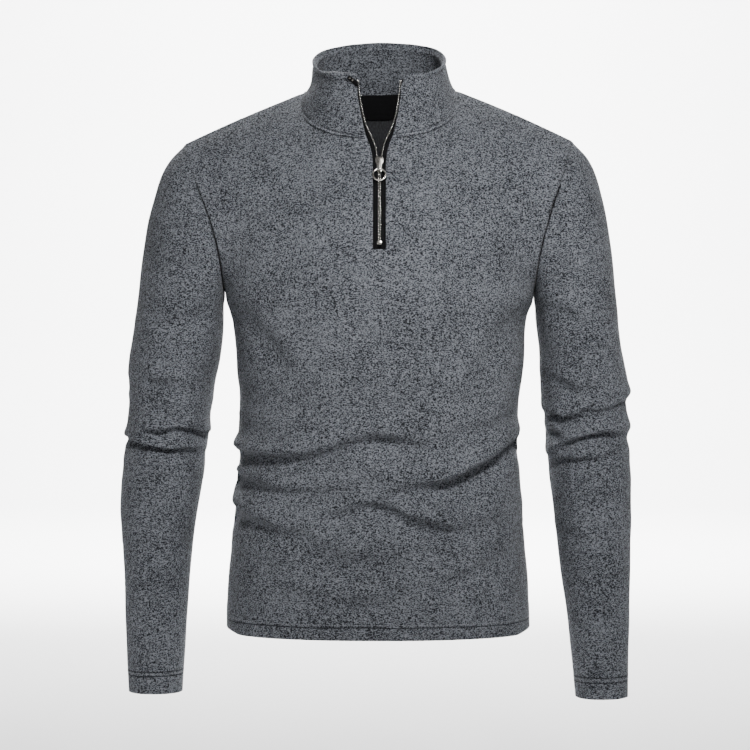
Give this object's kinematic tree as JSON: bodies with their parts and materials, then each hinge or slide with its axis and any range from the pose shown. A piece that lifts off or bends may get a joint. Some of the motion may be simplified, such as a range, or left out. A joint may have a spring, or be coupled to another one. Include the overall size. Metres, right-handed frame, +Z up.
{
  "type": "quarter-zip stand-collar sweatshirt",
  "caption": "Slim grey-heather knit pullover with a stand collar, a short black-taped metal zip with a ring pull, long set-in sleeves and stitched hem and cuffs, filled out as worn.",
  "frame": {"origin": "midway between the two points where the shoulder seams meet the collar, inside the neck opening, where the wearer carries it", "axes": "+X to the wearer's left, +Y from the garment's front to its back, +Z up from the hem to the collar"},
  "size_m": [0.5986, 0.2235, 0.7732],
  "materials": {
    "heather_knit": "blue-grey heather jersey with dark flecks, matt, brushed inside",
    "black_tape": "woven black tape, matt",
    "nickel": "polished nickel plate, slightly warm"
  },
  "bodies": {
    "garment": {"front": "heather_knit", "back": "heather_knit", "sleeve_left": "heather_knit", "sleeve_right": "heather_knit", "collar": "heather_knit", "neck_band": "black_tape", "zip_tape_left": "black_tape", "zip_tape_right": "black_tape", "zip_teeth_left": "nickel", "zip_teeth_right": "nickel", "zip_stop_left": "nickel", "zip_stop_right": "nickel", "zip_stop_bottom": "nickel", "zip_slider": "nickel"},
    "pull": {"pull_ring": "nickel"}
  },
  "joints": [
    {"name": "ring_hinge", "type": "hinge", "parent": "garment", "child": "pull", "pos_m": [0, -0.08916, -0.09443], "axis": [-1, 0, 0], "range_deg": [0, 150]}
  ]
}
